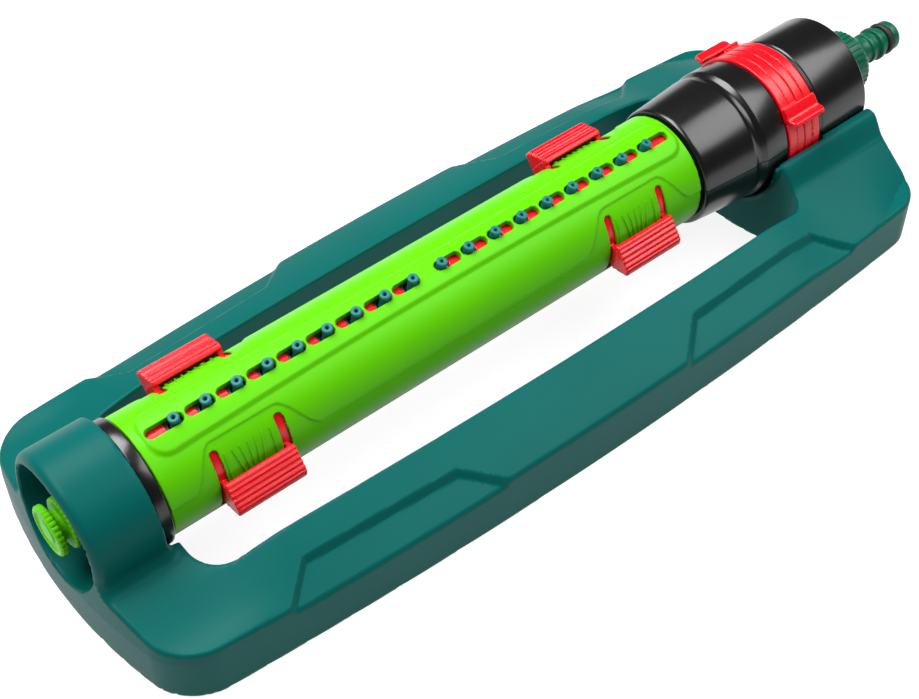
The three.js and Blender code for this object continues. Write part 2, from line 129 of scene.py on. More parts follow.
def slope(field, points, reach=0.05):
    ahead = [field(*(points + reach * step).T) for step in np.eye(3)]
    behind = [field(*(points - reach * step).T) for step in np.eye(3)]
    return (np.stack(ahead, 1) - np.stack(behind, 1)) / (2 * reach)


# %% Skin a field
CORNERS = np.array([(i, j, k) for i in (0, 1) for j in (0, 1) for k in (0, 1)])
EDGES = [(a, b) for a in range(8) for b in range(a + 1, 8) if abs(CORNERS[a] - CORNERS[b]).sum() == 1]


def skin(name, field, low, high, step, lean=0):
    low, step = np.array(low, float), np.array(step, float)
    counts = np.ceil((np.array(high) - low) / step).astype(int) + 1
    lines = [low[i] + step[i] * np.arange(counts[i]) for i in range(3)]
    value = np.concatenate([
        field(*np.meshgrid(part, lines[1], lines[2], indexing="ij"))
        for part in np.array_split(lines[0], 16)
    ])
    corner_values = np.stack([
        value[i:counts[0] - 1 + i, j:counts[1] - 1 + j, k:counts[2] - 1 + k] for i, j, k in CORNERS
    ], -1)
    crossed = (corner_values.min(-1) < 0) & (corner_values.max(-1) >= 0)
    cells = np.argwhere(crossed)
    number = np.full(crossed.shape, -1)
    number[crossed] = np.arange(len(cells))
    held = corner_values[crossed]
    total, weight = np.zeros((len(cells), 3)), np.zeros((len(cells), 1))
    for a, b in EDGES:
        va, vb = held[:, a], held[:, b]
        cut = (va < 0) != (vb < 0)
        t = np.where(cut, va / np.where(cut, va - vb, 1), 0)[:, None]
        total += cut[:, None] * (CORNERS[a] + t * (CORNERS[b] - CORNERS[a]))
        weight += cut[:, None]
    start = low + step * (cells + total / weight)
    points = start.copy()
    for _ in range(3):
        g = slope(field, points)
        points -= field(*points.T)[:, None] * g / np.maximum((g * g).sum(1, keepdims=True), 0.25)
        points = np.clip(points, start - 0.6 * step, start + 0.6 * step)
    faces = []
    for axis, (u, v) in enumerate(((1, 2), (2, 0), (0, 1))):
        ahead = np.take(value, range(1, counts[axis]), axis) < 0
        here = np.take(value, range(counts[axis] - 1), axis) < 0
        for flip, sign_change in ((False, here & ~ahead), (True, ~here & ahead)):
            where = np.argwhere(sign_change)
            where = where[(where[:, u] > 0) & (where[:, v] > 0)]
            where = where[(where[:, u] < counts[u] - 1) & (where[:, v] < counts[v] - 1)]
            ring = []
            for du, dv in ((-1, -1), (0, -1), (0, 0), (-1, 0)):
                cell = where.copy()
                cell[:, u] += du
                cell[:, v] += dv
                ring.append(number[tuple(cell.T)])
            faces.append(np.stack(ring[::-1] if flip else ring, 1))
    normals = slope(field, points)
    normals /= np.maximum(np.linalg.norm(normals, axis=1, keepdims=True), 1e-9)
    return make_object(name, points, np.concatenate(faces), lean, normals)


# %% [markdown]
# Round pieces are turned on a lathe instead: a profile of stations and radii swept about the axis.
# Real edges are never sharp, so each corner of the profile is rounded first. A wave function may
# change the radius on the way round, which gives knurls and ribs.

# %% Lathe
def rounded(profile, radius, closed=True, steps=4):
    """The profile with each corner replaced by a small arc."""
    out = []
    points = np.array(profile, float)
    for i, p in enumerate(points):
        before, after = points[i - 1], points[(i + 1) % len(points)]
        if p[1] < 0.01 or (not closed and i in (0, len(points) - 1)):
            out.append(p)
            continue
        room = 0.45 * min(np.linalg.norm(p - before), np.linalg.norm(after - p))
        reach = min(radius, room)
        a = p + (before - p) / np.linalg.norm(before - p) * reach
        b = p + (after - p) / np.linalg.norm(after - p) * reach
        for t in np.linspace(0, 1, steps):
            out.append((1 - t) ** 2 * a + 2 * t * (1 - t) * p + t * t * b)
    return np.array(out)


def turned(name, profile, lean=0, segments=128, radius=0.5, wave=None, offset=(0, 0), span=None):
    """A closed profile swept about the axis, or over part of a turn."""
    outline = rounded(profile, radius)
    first, last = span or (0, 360)
    count = segments if span is None else segments + 1
    angles = np.radians(first + (last - first) * np.arange(count) / segments)
    x = np.repeat(outline[:, 0][None], count, 0)
    r = np.repeat(outline[:, 1][None], count, 0)
    phi = np.repeat(angles[:, None], len(outline), 1)
    if wave:
        r = r + wave(x, r, phi)
    points = np.stack([x, offset[0] + r * np.sin(phi), offset[1] + r * np.cos(phi)], -1).reshape(-1, 3)
    n = len(outline)
    faces = []
    for i in range(count if span is None else segments):
        j = (i + 1) % count
        for k in range(n):
            l = (k + 1) % n
            faces.append((i * n + k, j * n + k, j * n + l, i * n + l))
    if span is not None:
        faces.append(tuple(range(n))[::-1])
        faces.append(tuple(segments * n + k for k in range(n)))
    return tidy_mesh(make_object(name, points, faces, lean))


def tidy_mesh(obj, flat_above=40):
    """Welds points that meet on the axis, turns faces outwards and keeps real edges crisp."""
    work = bmesh.new()
    work.from_mesh(obj.data)
    bmesh.ops.remove_doubles(work, verts=work.verts, dist=2e-6)
    bmesh.ops.dissolve_degenerate(work, edges=work.edges, dist=1e-6)
    stray = [edge for edge in work.edges if not edge.link_faces]
    bmesh.ops.delete(work, geom=stray, context="EDGES")
    bmesh.ops.recalc_face_normals(work, faces=work.faces)
    work.to_mesh(obj.data)
    work.free()
    obj.data.shade_smooth()
    obj.data.set_sharp_from_angle(angle=math.radians(flat_above))
    return obj


# %% [markdown]
# Every finish here is a plastic or a rubber, except the steel pins. One function adds a node with its
# settings and links. Each finish is named for its real material and gets a faint drift of colour,
# because pigment never mixes evenly, and a fine surface grain, because moulds are spark eroded or
# polished. The real grain is a tenth of a millimetre, too fine to show, so it is drawn coarser.

# %% Finish tools
def linear(hex_colour):
    channels = [int(hex_colour[i:i + 2], 16) / 255 for i in (0, 2, 4)]
    return [c / 12.92 if c <= 0.04045 else ((c + 0.055) / 1.055) ** 2.4 for c in channels] + [1.0]


def add(tree, kind, settings=None, links=None):
    node = tree.nodes.new(kind)
    for key, value in (settings or {}).items():
        if isinstance(key, int) or key in node.inputs:
            node.inputs[key].default_value = value
        else:
            setattr(node, key, value)
    for socket, source in (links or {}).items():
        tree.links.new(source, node.inputs[socket])
    return node


DRIFT_MM = 60


def moulded(name, colour, shade, roughness, grain_mm, relief, **shader):
    """A moulded polymer: pigment drift between two colours, and a grain that breaks up its gloss."""
    material = bpy.data.materials.new(name)
    material.use_nodes = True
    tree = material.node_tree
    tree.nodes.clear()
    place = add(tree, "ShaderNodeTexCoord")
    drift = add(tree, "ShaderNodeTexNoise", {"Scale": 1 / (DRIFT_MM * MM), "Detail": 3.0},
                {"Vector": place.outputs["Object"]})
    grain = add(tree, "ShaderNodeTexNoise", {"Scale": 1 / (grain_mm * MM), "Detail": 2.0},
                {"Vector": place.outputs["Object"]})
    tint = add(tree, "ShaderNodeMix", {"data_type": "RGBA", 6: linear(shade), 7: linear(colour)},
               {0: drift.outputs[0]})
    gloss = add(tree, "ShaderNodeMapRange", {"To Min": roughness * 0.88, "To Max": roughness * 1.12},
                {"Value": grain.outputs[0]})
    bump = add(tree, "ShaderNodeBump", {"Strength": 1.0, "Distance": relief * MM},
               {"Height": grain.outputs[0]})
    surface = add(tree, "ShaderNodeBsdfPrincipled", shader, {
        "Base Color": tint.outputs[2], "Roughness": gloss.outputs[0], "Normal": bump.outputs[0],
    })
    add(tree, "ShaderNodeOutputMaterial", {}, {"Surface": surface.outputs[0]})
    print("finish", name)
    return material


# %% [markdown]
# The base is satin polypropylene in a dark blue green: the eye sees wide, soft highlights and a thin
# bright line along each rounded edge. The cover is a brighter, slightly glossier plastic. The red
# acetal is glossy and lets a little light in, so its highlights turn pink. The collar and housing are
# polished black ABS that mirrors the studio lamps. The jets are soft thermoplastic rubber.

# %% Finishes
base_plastic = moulded("satin_green_polypropylene", "025652", "014B47", 0.4, 1.1, 0.012, IOR=1.49,
                        **{"Specular IOR Level": 0.07})
lime_plastic = moulded("satin_lime_abs", "58B703", "4CAB02", 0.36, 1.2, 0.008, IOR=1.52,
                        **{"Specular IOR Level": 0.1})
red_plastic = moulded("glossy_red_acetal", "DC0A1C", "CE0614", 0.26, 1.5, 0.002, IOR=1.48,
                      **{"Specular IOR Level": 0.5, "Subsurface Weight": 0.15, "Subsurface Scale": 0.004,
                         "Subsurface Radius": (1.0, 0.3, 0.25)})
black_plastic = moulded("polished_black_abs", "0E0E0F", "0A0A0B", 0.24, 1.4, 0.001, IOR=1.54)
grey_plastic = moulded("satin_grey_plastic", "8C8680", "7E7872", 0.45, 1.0, 0.012, IOR=1.49)
jet_rubber = moulded("teal_thermoplastic_rubber", "0D6C6B", "085F5E", 0.5, 0.9, 0.01, IOR=1.5,
                     **{"Specular IOR Level": 0.35})
connector_plastic = moulded("satin_dark_green_polypropylene", "04583F", "024B35", 0.33, 1.0, 0.01, IOR=1.49,
                           **{"Specular IOR Level": 0.3})
gear_plastic = moulded("natural_acetal", "E7E2D4", "DDD7C6", 0.42, 1.0, 0.006, IOR=1.48)
seal_rubber = moulded("black_nitrile_rubber", "131313", "0D0D0D", 0.6, 0.8, 0.01, IOR=1.52)
pin_steel = moulded("ground_stainless_steel", "B9BCC0", "A9ACB0", 0.28, 0.6, 0.004, Metallic=1.0)

SLOT_OF = {
    "base_green": base_plastic, "lime_green": lime_plastic, "signal_red": red_plastic,
    "gloss_black": black_plastic, "tube_grey": grey_plastic, "jet_teal": jet_rubber,
    "connector_green": connector_plastic, "gear_white": gear_plastic, "seal_rubber": seal_rubber,
    "steel": pin_steel,
}
for part in frame["record"]["subparts"]:
    node = frame["nodes"][part["node"]]
    node.data.materials.clear()
    node.data.materials.append(SLOT_OF[part["material_slot"]])
print(len(frame["nodes"]), "frame nodes have their finish")


# %% Seat a piece in the model
def fit(piece, body, slot, *nodes):
    piece.data.materials.append(SLOT_OF[slot])
    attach(piece, body)
    if nodes:
        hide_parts(*nodes)
    return piece


# %% [markdown]
# The base is one hollow moulding round a window. Its plan is a barrel-sided ring, and its top is a
# height map: rails that fall outwards, two recessed panels on each rail, a shoulder at the left that
# runs into the hood, and a cradle at the right that rises to hug the drive housing.

# %% Base plan and top
OUTER_HALF, OUTER_BULGE, OUTER_MIDDLE = 82.4, 0.000204, 189
WINDOW_HALF, WINDOW_BULGE, WINDOW_MIDDLE = 53.2, 0.00013, 216
LEFT, RIGHT, WINDOW_LEFT, WINDOW_RIGHT = -40, 391, 0.5, 322
WALL = 3
EDGE = 1.7
PANEL_DEPTH = 2.9
RAIL_HEIGHTS, RAIL_CROWN, SHOULDER_HEIGHTS = (-9.4, -20.9), 2.4, (-11.5, -19.0)
CRADLE_HEIGHTS, CRADLE_RISE = (-9.6, -22.4), 10.3
PANEL_SLANT, PANEL_FOOT = 1.15, 80
PANEL_INNER_EDGES = [((34, 63), (107.5, 67.5)), ((242, 67), (320, 64))]


def panel(first, last):
    """Corners of a recess: a long inner edge, and two slanted ends that run out to the rail's edge."""
    start = (first[0] - PANEL_SLANT * (PANEL_FOOT - first[1]), PANEL_FOOT)
    end = (last[0] + PANEL_SLANT * (PANEL_FOOT - last[1]), PANEL_FOOT)
    return start, first, last, end


PANELS = [panel(*edge) for edge in PANEL_INNER_EDGES]
print("base length", RIGHT - LEFT, "mm, width", 2 * OUTER_HALF, "mm")


def front_face(y, z):
    """Station of the left end wall, which leans back above the ground part."""
    return LEFT + 0.002 * y * y + 0.069 * np.maximum(z + 26, 0)


def base_outline(x, y, z):
    half = OUTER_HALF - OUTER_BULGE * (x - OUTER_MIDDLE) ** 2
    right = both(np.abs(y) - half, x - (RIGHT + 0.4 - 0.0006 * y * y), 16)
    return both(right, front_face(y, z) - x, 17)


def base_window(x, y):
    half = WINDOW_HALF - WINDOW_BULGE * (x - WINDOW_MIDDLE) ** 2
    right = both(np.abs(y) - half, x - (WINDOW_RIGHT + 0.004 * y * y), 14)
    return both(right, WINDOW_LEFT - x, 14)


def side_of(a, b, x, y):
    """Distance from the line through a and b, positive on its left."""
    length = math.hypot(b[0] - a[0], b[1] - a[1])
    return ((b[0] - a[0]) * (y - a[1]) - (b[1] - a[1]) * (x - a[0])) / length


def base_top(x, y, panels=PANELS):
    away = np.abs(y)
    inner = WINDOW_HALF - WINDOW_BULGE * (x - WINDOW_MIDDLE) ** 2
    outer = OUTER_HALF - OUTER_BULGE * (x - OUTER_MIDDLE) ** 2
    across = np.clip((away - inner) / (outer - inner), 0, 1)
    height = mix(*RAIL_HEIGHTS, across) + RAIL_CROWN * across * (1 - across)
    left = 1 - smooth(-14, 40, x)
    height = mix(height, mix(*SHOULDER_HEIGHTS, smooth(30, 68, away)), left)
    right = smooth(298, 334, x)
    ridge = 76 - 13 * smooth(352, 391, x)
    height = mix(height, mix(*CRADLE_HEIGHTS, np.clip((away - 44) / (ridge - 44), 0, 1)), right)
    height = height + CRADLE_RISE * (1 - smooth(34.8, 45, away)) * smooth(303, 330, x)
    for corners in panels:
        inside = np.minimum.reduce([side_of(corners[i + 1], corners[i], x, away) * -1 for i in range(3)])
        height = height - PANEL_DEPTH * smooth(-1.1, 1.6, inside)
    return height


# %% [markdown]
# The hood is a short tube with the bearing wall inside it. It merges with the base by a fillet. The
# same field also holds the hollow underneath, the bore, and the clearances that the working model
# gives the black flange, the range rings and the housing.

# %% Base field
HOOD_RADIUS, HOOD_BORE, HOOD_END, HOOD_BACK = 31.9, 27.4, -6, -11.5
HOUSING_RADIUS = 31
JOURNAL_CLEARANCE, FLANGE_CLEARANCE, COLLAR_CLEARANCE, TROUGH_RADIUS = 14.6, 30, 33.3, 35


def base_field(x, y, z):
    reach = np.hypot(y, z)
    top = base_top(x, y)
    plan = np.maximum(base_outline(x, y, z), -base_window(x, y))
    shell = both(plan, (z - top) / 1.12, EDGE)
    shell = both(shell, GROUND - z, 0.8)
    roof = base_top(x, y, ()) - WALL - PANEL_DEPTH
    hollow = both(plan + WALL, (z - roof) / 1.12, 2)
    shell = without(shell, hollow, 0.6)
    hood = both(both(reach - HOOD_RADIUS, x - HOOD_END, 1.2), front_face(y, z) - x, 3.6)
    under_arm = np.maximum.reduce([z - 0.2, WINDOW_RIGHT + 2 - x, x - RIGHT + 2])
    trough = both(reach - TROUGH_RADIUS, under_arm, 0.8)
    solid = either(np.maximum(either(shell, hood, 7), front_face(y, z) - x), trough, 1)
    solid = without(solid, np.maximum(reach - HOOD_BORE, x - HOOD_BACK), 0.7)
    solid = without(solid, np.maximum(reach - JOURNAL_CLEARANCE, between(x, -14, 0)), 0.3)
    solid = without(solid, np.maximum(reach - FLANGE_CLEARANCE, between(x, -6.1, 4)), 0.6)
    solid = without(solid, np.maximum(reach - COLLAR_CLEARANCE, between(x, 292, 357.6)), 0.7)
    return without(solid, np.maximum(reach - HOUSING_RADIUS - 0.35, 357 - x), 0.8)


base = skin("base_moulding", base_field, (-42, -84.5, GROUND - 1.5), (393.5, 84.5, 34), (1.5, 1.3, 1.3))
fit(base, "base", "base_green", "base_frame")


# %% [markdown]
# The green cover is a thin shell round the upper side of the arm. A long raised plateau carries the
# row of jet slots. Low pads, sunk by 0.6 mm, lie round the thumb tabs of the sliders,
# and their outline is what catches the light. The shape is drawn unrolled: station and arc length.

# %% Cover
COVER_RADIUS, COVER_THICKNESS, COVER_LENGTH, COVER_SPAN = 27, 1.3, 284, 104
PLATEAU_HEIGHT, PAD_DEPTH = 1.15, 0.6
JETS, JET_PITCH, FIRST_JET = 18, 14.42, 19.8
SLOT_HALF, SLOT_BEHIND, SLOT_LENGTH, END_SLOT_LENGTH = 2.45, 2.8, 13.2, 17
TABS, TAB_ARM = (39.8, 245.4), 15.1
jet_stations = [FIRST_JET + JET_PITCH * i for i in range(JETS)]


def outward(i):
    return -1 if i < JETS // 2 else 1


def jet_slots(x, y):
    """Distance to the nearest of the round-ended slots in the row."""
    nearest = np.full(np.broadcast(x, y).shape, 99.0)
    for i, station in enumerate(jet_stations):
        length = END_SLOT_LENGTH if i in (0, JETS - 1) else SLOT_LENGTH
        inner = station - outward(i) * SLOT_BEHIND
        centre = inner + outward(i) * length / 2
        along = np.maximum(np.abs(x - centre) - length / 2 + SLOT_HALF, 0)
        nearest = np.minimum(nearest, np.hypot(along, y) - SLOT_HALF)
    return nearest


def pad_edge(x):
    left = smooth(11, 25, x) * (1 - smooth(55, 72, x))
    right = smooth(213, 230, x) * (1 - smooth(261, 277, x))
    return 31.5 - 17.2 * (left + right)


def cover_field(x, y, z):
    reach = np.hypot(y, z)
    arc = np.arctan2(y, z) * COVER_RADIUS
    away = np.abs(arc)
    half = 9.2 + 2.6 * ((x - 150) / 140) ** 2
    plateau = both(away - half, np.abs(x - 143) - 139.6, 9)
    rise = (pad_edge(x + 0.5) - pad_edge(x - 0.5))
    pad = (away - pad_edge(x)) / np.sqrt(1 + rise * rise)
    raised = PLATEAU_HEIGHT * (1 - smooth(-2.3, 0.3, plateau))
    outer = COVER_RADIUS + 0.1 + raised - PAD_DEPTH * smooth(-0.6, 0.6, pad)
    shell = both(reach - outer, COVER_RADIUS - COVER_THICKNESS - 0.4 - reach, 0.35)
    edges = np.maximum(between(x, 0.4, COVER_LENGTH - 0.4), away - math.radians(COVER_SPAN) * COVER_RADIUS)
    shell = both(shell, edges, 0.4)
    shell = without(shell, np.maximum(jet_slots(x, y), -z), 0.35)
    for tab in TABS:
        for side in (-1, 1):
            along = np.abs(x - tab - side * TAB_ARM)
            pill = np.hypot(along, np.maximum(19.8 - away, 0)) - 1.9
            shell = without(shell, pill, 0.35)
    return shell


cover = skin("arm_cover_shell", cover_field, (-0.4, -28.6, -11.5), (284.6, 28.6, 29),
             (0.95, 0.8, 0.8), ARM_LEAN)
fit(cover, "arm", "lime_green", "arm_cover")


# %% [markdown]
# Between the two arms of each thumb tab the cover has fine fanned fins, which keep a thumb from
# slipping. They are much thinner than a cell of the skin, so each is a little tapered blade laid on
# the curved cover. The tops are evenly spaced. The outer two fins run straight, and the feet of the
# inner ones are gathered. Both pads have the same fan, on the near side and on the far side.

# %% Grip fins
FINS, FAN_SHIFT, FAN_TOP_PITCH, FAN_FOOT_PITCH = 7, -0.75, 3.55, 2.33
FAN_TOP, FAN_FOOT = 45, 71
FIN_HALF, FIN_HEIGHT = 0.5, 0.8
FIN_SINK = 0.9


def grip_fins():
    points, faces = [], []
    for tab in TABS:
        for side in (-1, 1):
            for step in range(-(FINS // 2), FINS // 2 + 1):
                foot_pitch = FAN_TOP_PITCH if abs(step) == FINS // 2 else FAN_FOOT_PITCH
                top_x = tab + FAN_SHIFT + FAN_TOP_PITCH * step
                foot_x = tab + FAN_SHIFT + foot_pitch * step
                start = len(points)
                for t in np.linspace(0, 1, 9):
                    x = mix(top_x, foot_x, t)
                    phi = side * math.radians(mix(FAN_TOP, FAN_FOOT, t))
                    swell = math.sin(math.pi * min(max(t, 0.08), 0.92)) ** 0.4
                    floor = COVER_RADIUS - FIN_SINK
                    crest = COVER_RADIUS - 0.5 + FIN_HEIGHT * swell
                    for dx, r in ((-FIN_HALF, floor), (-0.16, crest), (0.16, crest), (FIN_HALF, floor)):
                        points.append((x + dx, r * math.sin(phi), r * math.cos(phi)))
                for i in range(8):
                    a = start + 4 * i
                    for k in range(4):
                        l = (k + 1) % 4
                        faces.append((a + k, a + l, a + 4 + l, a + 4 + k))
                faces.append((start, start + 1, start + 2, start + 3))
                faces.append((start + 35, start + 34, start + 33, start + 32))
    return tidy_mesh(make_object("cover_grip_fins", points, faces, ARM_LEAN))


fit(grip_fins(), "arm", "lime_green")


# %% [markdown]
# Each width slider is a thin curved plate under the cover, with a ribbed thumb tab at both sides. The
# plate shows red through the jet slots. Both are one moulding, so both are one field.

# %% Width sliders
SLIDER_RADIUS, SLIDER_THICKNESS = 25.2, 1.1
TAB_HALF, TAB_TURN = 16.4, 78.5
TAB_CORNERS = [(59.5, 28.5), (60.0, 30.6), (76.5, 37.1), (81.5, 37.1), (88.5, 28.5)]
RIB_PITCH, RIB_HEIGHT = 2.35, 0.36
PLATE_ARC, WINDOW_ARC, WINDOW_BACK, WINDOW_AHEAD = (-33, 31), (-23, 21), 2.9, 4.9
MM_PER_DEGREE = 0.44


def polar(degrees, r):
    return r * math.sin(math.radians(degrees)), r * math.cos(math.radians(degrees))


def wedge(y, z, corners):
    """A convex shape of [degrees, radius] corners, given from the top down the outside and back."""
    flat = [polar(*c) for c in corners]
    sides = [side_of(flat[i], flat[(i + 1) % len(flat)], y, z) for i in range(len(flat))]
    shape = sides[0]
    for side in sides[1:]:
        shape = both(shape, side, 0.5)
    return shape


def slider_field(first, last, tab, own):
    top_a, top_b = polar(*TAB_CORNERS[1]), polar(*TAB_CORNERS[2])
    length = math.hypot(top_b[0] - top_a[0], top_b[1] - top_a[1])

    def field(x, y, z):
        reach = np.hypot(y, z)
        phi = np.degrees(np.arctan2(y, z))
        away = np.abs(phi)
        sheet = both(reach - SLIDER_RADIUS, SLIDER_RADIUS - SLIDER_THICKNESS - reach, 0.3)
        plate = np.maximum(between(x, first, last), between(phi, *PLATE_ARC) * MM_PER_DEGREE)
        saddle = np.maximum(np.abs(x - tab) - 18, (away - TAB_TURN - 8) * MM_PER_DEGREE)
        body = np.maximum(sheet, np.minimum(plate, saddle))
        for i in own:
            low, high = sorted((jet_stations[i] - outward(i) * WINDOW_BACK,
                                jet_stations[i] + outward(i) * WINDOW_AHEAD))
            window = np.maximum(between(x, low, high), between(phi, *WINDOW_ARC) * MM_PER_DEGREE)
            body = np.maximum(body, -window)
        side = np.abs(y)
        along = (side - top_a[0]) * (top_b[0] - top_a[0]) + (z - top_a[1]) * (top_b[1] - top_a[1])
        along = along / length
        ribbed = smooth(0.4, 1.6, along) * (1 - smooth(length - 1.5, length, along))
        rib = RIB_HEIGHT * np.cos(2 * np.pi * along / RIB_PITCH) * ribbed
        thumb = both(wedge(side, z, TAB_CORNERS) - rib, np.abs(x - tab) - TAB_HALF, 0.7)
        arms = np.maximum(np.abs(np.abs(x - tab) - TAB_ARM) - 1.4, between(away, 62.5, 86) * 0.48)
        arms = both(arms, np.abs(reach - 27.2) - 2.4, 0.4)
        return either(either(thumb, arms, 0.4), body, 0.3)

    return field


for name, body, first, last, tab, own in (
    ("width_slider_left_moulding", "width_slider_left", 4.6, 138, TABS[0], range(0, 9)),
    ("width_slider_right_moulding", "width_slider_right", 147, 279.6, TABS[1], range(9, 18)),
):
    slider = skin(name, slider_field(first, last, tab, own), (first - 1.5, -38.5, -6),
                  (last + 1.5, 38.5, 26.5), (0.85, 0.72, 0.72), SLIDER_LEAN)
    fit(slider, body, "signal_red", body)


# %% [markdown]
# Eighteen soft jets stand in the row. Each is a hollow rubber tip on a ball foot, and leans away from
# the middle of the arm, a little more with each step outwards. One turned outline makes them all.

# %% Jets
JET_PIVOT, REST_LEAN, LEAN_STEP = 22.4, 3, 1.1
JET_OUTLINE = [(-2.6, 0.6), (-2.6, 1.5), (-1.5, 2.6), (0, 3.0), (1.5, 2.6), (2.1, 2.2), (6.9, 2.2),
               (7.2, 2.42), (8.0, 2.42), (8.4, 2.1), (8.4, 1.0), (7.7, 0.62)]
JET_SIDES = 32


def jet(number):
    outline = rounded(JET_OUTLINE, 0.3, steps=3)
    n = len(outline)
    points, faces = [], []
    for i in range(JET_SIDES):
        a = 2 * math.pi * i / JET_SIDES
        points += [(r * math.cos(a), r * math.sin(a), h) for h, r in outline]
        j = (i + 1) % JET_SIDES
        faces += [(i * n + k, j * n + k, j * n + (k + 1) % n, i * n + (k + 1) % n) for k in range(n)]
    lean = outward(number) * (REST_LEAN + LEAN_STEP * (abs(number - 8.5) - 0.5))
    turn = np.array(Matrix.Rotation(math.radians(lean), 3, "Y"))
    points = np.array(points) @ turn.T + np.array([jet_stations[number], 0, JET_PIVOT])
    return tidy_mesh(make_object(f"jet_{number + 1:02d}", points, faces, ARM_LEAN))


for i in range(JETS):
    node = f"nozzle_{i + 1:02d}"
    fit(jet(i), node, "jet_teal", node)


# %% [markdown]
# The grey lower shell closes the arm underneath, and the black flange is the arm's left bearing face.
# Both are plain turned shapes with small edge radii.

# %% Lower shell and flange
lower_shell = turned("arm_lower_skin", [(0.6, 24.6), (0.6, 26.5), (283.4, 26.5), (283.4, 24.6)], ARM_LEAN,
                     segments=60, radius=0.4, span=(105, 255))
fit(lower_shell, "arm", "tube_grey", "arm_lower_shell")
FLANGE = [(-16, 5.2), (-16, 11.5), (-5.6, 11.5), (-5.6, 28.4), (-0.4, 28.4), (-0.4, 20.8), (14, 20.8),
          (14, 18.6), (0, 18.6), (0, 5.2)]
fit(turned("journal_flange", FLANGE, ARM_LEAN, radius=0.6), "arm", "gloss_black", "arm_journal")


# %% [markdown]
# The end plug is a thumb knob with two flanges like a spool. Fine knurls run across both rims, so a
# wet hand can turn it. The wave only acts near the rims, and fades to nothing on the waist.

# %% End plug
KNURLS = 30
PLUG = [(-40, 0), (-40, 4.6), (-39.3, 5.2), (-39.3, 8.6), (-40, 9.2), (-40, 10.2), (-39.2, 11), (-37.2, 11),
        (-36.6, 10.4), (-36.6, 6.4), (-33.6, 6.4), (-33.6, 10.4), (-33, 11), (-31.4, 11), (-30.8, 10.2),
        (-30.8, 6.6), (-16.4, 6.6), (-16.4, 4.8), (-4, 4.8), (-4, 0)]


def knurl(x, r, phi):
    rim = smooth(9.4, 10.8, r)
    return 0.42 * rim * (np.abs(np.sin(KNURLS * phi / 2)) - 0.6)


fit(turned("end_plug_knob", PLUG, ARM_LEAN, segments=KNURLS * 8, radius=0.3, wave=knurl),
    "end_plug", "lime_green", "end_plug")


# %% [markdown]
# The drive collar is two glossy half shells with a parting line between them. A shallow valley runs
# round it where the cone of the left part meets the straight right part.

# %% Collar
COLLAR = [(285, 24), (285, 28.3), (286.4, 28.9), (314.6, 31.4), (316.4, 30.7), (318.6, 30.7), (321.2, 32.1),
          (334.9, 31.7), (334.9, 30), (300, 27), (300, 24)]
PARTING_NEAR, PARTING_FAR, PARTING_GAP = -69, 111, 0.33
for name, span in (
    ("collar_upper_half", (PARTING_NEAR + PARTING_GAP, PARTING_FAR - PARTING_GAP)),
    ("collar_lower_half", (PARTING_FAR + PARTING_GAP, PARTING_NEAR + 360 - PARTING_GAP)),
):
    half = turned(name + "_shell", COLLAR, ARM_LEAN, segments=72, radius=0.6, span=span)
    fit(half, "arm", "gloss_black", name)


# %% [markdown]
# The drive housing is a polished can. Its left end narrows to a sleeve for the range rings, and a
# thin lip stands beside them. The outer end face has a shallow groove and a neck for the connector.

# %% Housing
HOUSING = [(335.3, 26.4), (335.3, 30), (356.3, 30), (356.3, 31.2), (357.4, 31.2), (357.8, 30.5),
           (358.4, 30.5), (359.2, 31), (388.4, 31), (389.4, 30), (389.4, 25), (388.6, 24.6), (388.6, 18),
           (389.4, 17.6), (389.4, 13), (402, 13), (402, 7), (378, 7), (378, 26.4)]
fit(turned("drive_housing_can", HOUSING, segments=160, radius=0.5), "base", "gloss_black", "drive_housing")


# %% [markdown]
# Two red range rings sit side by side on the sleeve. Each has a finger tab that stands out and
# reaches over both rings. They set how far the arm swings before it reverses.

# %% Range rings
RING_START, RING_WIDTH, RING_GAP, RING_RADIUS = 335.6, 9.6, 0.4, 32.5
RING_SPAN = 2 * RING_WIDTH + RING_GAP


def ring_field(start, side):
    middle = RING_START + RING_SPAN / 2

    def field(x, y, z):
        reach = np.hypot(y, z)
        phi = side * np.degrees(np.arctan2(y, z))
        own = between(x, start, start + RING_WIDTH)
        band = both(both(reach - RING_RADIUS, 30.35 - reach, 0.3), own, 0.5)
        groove = np.abs(x - start - RING_WIDTH / 2) - 0.25
        band = without(band, both(groove, 32.15 - reach, 0.1), 0.2)
        root = np.maximum.reduce([between(phi, 46, 58) * 0.57, between(reach, 31.2, 34), own])
        pad = both(between(phi, 45.5, 59) * 0.58, between(reach, 33.2, 34.5), 0.5)
        pad = both(pad, np.abs(x - middle) - RING_SPAN / 2, 0.6)
        blade_phi = (phi - 56.6 - (reach - 33.5) * 0.75) * 0.6
        tip = both(reach - 38.2, np.abs(x - middle) - RING_SPAN / 2 - 0.6 + 0.1 * (38 - reach), 2.6)
        blade = both(np.abs(blade_phi) - 0.95, np.maximum(tip, 33.3 - reach), 0.5)
        return either(either(band, root, 0.5), either(pad, blade, 1.2), 0.4)

    return field


for name, start, side in (("range_ring_near", RING_START, -1),
                          ("range_ring_far", RING_START + RING_WIDTH + RING_GAP, 1)):
    span = sorted((side * 39.5, -side * 34))
    band = skin(name + "_band", ring_field(start, side), (RING_START - 2, span[0], -34), (356.8, span[1], 34),
                (0.6, 0.62, 0.62))
    fit(band, name, "signal_red", name)


# %% [markdown]
# The hose connector screws onto the housing with a knurled skirt. Its nipple is the standard quick
# coupling: a locking groove, a locking flange and a black O-ring near the tip.

